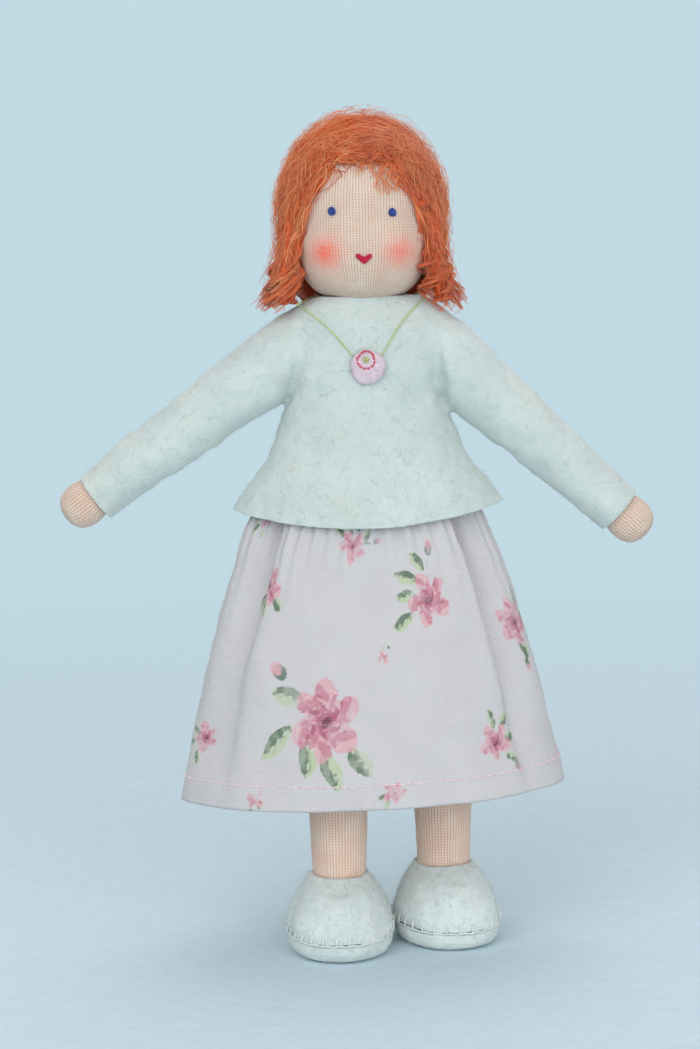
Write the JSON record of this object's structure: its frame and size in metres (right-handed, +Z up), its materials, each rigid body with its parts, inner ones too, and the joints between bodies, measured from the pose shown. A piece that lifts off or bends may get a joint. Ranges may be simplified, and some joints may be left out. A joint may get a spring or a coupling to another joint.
{
  "type": "bendable dollhouse doll",
  "caption": "Small bendable cloth doll with mohair hair, felt long-sleeved top, gathered cotton skirt, felt slippers and a thread necklace with a felt pendant.",
  "frame": {"origin": "on the floor under the middle of the standing doll's box; the soles are at z = 0", "axes": "+Z up, the doll faces -Y, its right hand is towards -X"},
  "size_m": [0.106, 0.04, 0.1496],
  "materials": {
    "knit_skin": "fine pale peach rib knit",
    "wool": "teased sheep's wool",
    "white_felt": "soft white wool felt with a short nap",
    "cotton_print": "plain-weave cotton, pale pink with scattered flowers",
    "mohair": "wavy copper mohair",
    "wire": "soft steel armature wire",
    "white_thread": "twisted cotton thread",
    "green_thread": "twisted cotton thread, yellow-green",
    "blue_thread": "embroidery thread, deep blue",
    "crimson_thread": "embroidery thread, crimson",
    "pink_felt": "soft pink felt",
    "red_thread": "embroidery thread, red",
    "olive_thread": "embroidery thread, olive green"
  },
  "bodies": {
    "torso": {"torso_skin": "knit_skin", "torso_filling": "wool", "torso_wire": "wire", "top_front": "white_felt", "top_back": "white_felt", "waist_elastic": "white_thread", "skirt": "cotton_print", "necklace_back": "green_thread"},
    "necklace": {"necklace_right": "green_thread", "necklace_left": "green_thread", "pendant": "pink_felt", "pendant_ring": "red_thread", "pendant_knot": "olive_thread"},
    "neck": {"neck": "wool", "neck_tie": "white_thread"},
    "head": {"head_skin": "knit_skin", "head_filling": "wool", "right_eye": "blue_thread", "left_eye": "blue_thread", "mouth": "crimson_thread", "hair_cap": "mohair", "hair_back": "mohair", "hair_right": "mohair", "hair_left": "mohair"},
    "right_shoulder": {"right_shoulder_pad": "wool"},
    "right_upper_arm": {"right_upper_sleeve": "white_felt", "right_upper_arm": "wool", "right_upper_arm_wire": "wire"},
    "right_forearm": {"right_lower_sleeve": "white_felt", "right_forearm": "knit_skin", "right_forearm_wire": "wire", "right_hand": "knit_skin"},
    "left_shoulder": {"left_shoulder_pad": "wool"},
    "left_upper_arm": {"left_upper_sleeve": "white_felt", "left_upper_arm": "wool", "left_upper_arm_wire": "wire"},
    "left_forearm": {"left_lower_sleeve": "white_felt", "left_forearm": "knit_skin", "left_forearm_wire": "wire", "left_hand": "knit_skin"},
    "hips": {"hips": "wool", "hips_wire": "wire"},
    "right_thigh": {"right_thigh": "knit_skin", "right_thigh_wire": "wire"},
    "right_shin": {"right_shin": "knit_skin", "right_shin_wire": "wire"},
    "right_foot": {"right_foot": "wool", "right_shoe_upper": "white_felt", "right_shoe_sole": "white_felt", "right_shoe_stitching": "white_thread"},
    "left_thigh": {"left_thigh": "knit_skin", "left_thigh_wire": "wire"},
    "left_shin": {"left_shin": "knit_skin", "left_shin_wire": "wire"},
    "left_foot": {"left_foot": "wool", "left_shoe_upper": "white_felt", "left_shoe_sole": "white_felt", "left_shoe_stitching": "white_thread"}
  },
  "joints": [
    {"name": "neck_turn", "type": "hinge", "parent": "torso", "child": "neck", "pos_m": [0.00177, 0.00002, 0.1127], "axis": [0, 0, 1], "range_deg": [-35, 35], "deforming": ["hair_back", "hair_right", "hair_left"]},
    {"name": "neck_nod", "type": "hinge", "parent": "neck", "child": "head", "pos_m": [0.00177, 0.00002, 0.1185], "axis": [1, 0, 0], "range_deg": [-12, 15]},
    {"name": "right_shoulder_swing", "type": "hinge", "parent": "torso", "child": "right_shoulder", "pos_m": [-0.01083, 0.00002, 0.108], "axis": [-1, 0, 0], "range_deg": [-40, 80]},
    {"name": "right_shoulder_raise", "type": "hinge", "parent": "right_shoulder", "child": "right_upper_arm", "pos_m": [-0.01083, 0.00002, 0.108], "axis": [0, 1, 0], "range_deg": [-20, 60]},
    {"name": "right_elbow", "type": "hinge", "parent": "right_upper_arm", "child": "right_forearm", "pos_m": [-0.02881, 0.00002, 0.09532], "axis": [-0.5764, 0, 0.8171], "range_deg": [0, 70]},
    {"name": "left_shoulder_swing", "type": "hinge", "parent": "torso", "child": "left_shoulder", "pos_m": [0.01437, 0.00002, 0.108], "axis": [-1, 0, 0], "range_deg": [-40, 80]},
    {"name": "left_shoulder_raise", "type": "hinge", "parent": "left_shoulder", "child": "left_upper_arm", "pos_m": [0.01437, 0.00002, 0.108], "axis": [0, -1, 0], "range_deg": [-13, 67]},
    {"name": "left_elbow", "type": "hinge", "parent": "left_upper_arm", "child": "left_forearm", "pos_m": [0.03066, 0.00002, 0.09322], "axis": [-0.6717, 0, -0.7408], "range_deg": [0, 70]},
    {"name": "hip_bend", "type": "hinge", "parent": "torso", "child": "hips", "pos_m": [0.00177, 0.00002, 0.066], "axis": [-1, 0, 0], "range_deg": [0, 80], "deforming": ["skirt"]},
    {"name": "right_leg_swing", "type": "hinge", "parent": "hips", "child": "right_thigh", "pos_m": [-0.00573, 0.00002, 0.066], "axis": [-1, 0, 0], "range_deg": [-15, 15]},
    {"name": "right_knee", "type": "hinge", "parent": "right_thigh", "child": "right_shin", "pos_m": [-0.00433, -0.00298, 0.038], "axis": [1, 0, 0], "range_deg": [0, 45]},
    {"name": "right_ankle", "type": "hinge", "parent": "right_shin", "child": "right_foot", "pos_m": [-0.00433, -0.00298, 0.0125], "axis": [-1, 0, 0], "range_deg": [-20, 20]},
    {"name": "left_leg_swing", "type": "hinge", "parent": "hips", "child": "left_thigh", "pos_m": [0.00927, 0.00002, 0.066], "axis": [-1, 0, 0], "range_deg": [-15, 15]},
    {"name": "left_knee", "type": "hinge", "parent": "left_thigh", "child": "left_shin", "pos_m": [0.01477, 0.00352, 0.038], "axis": [1, 0, 0], "range_deg": [0, 45]},
    {"name": "left_ankle", "type": "hinge", "parent": "left_shin", "child": "left_foot", "pos_m": [0.01477, 0.00352, 0.0125], "axis": [-1, 0, 0], "range_deg": [-20, 20]},
    {"name": "necklace_swing", "type": "hinge", "parent": "torso", "child": "necklace", "pos_m": [0.00177, -0.00207, 0.1156], "axis": [-1, 0, 0], "range_deg": [0, 50]}
  ]
}
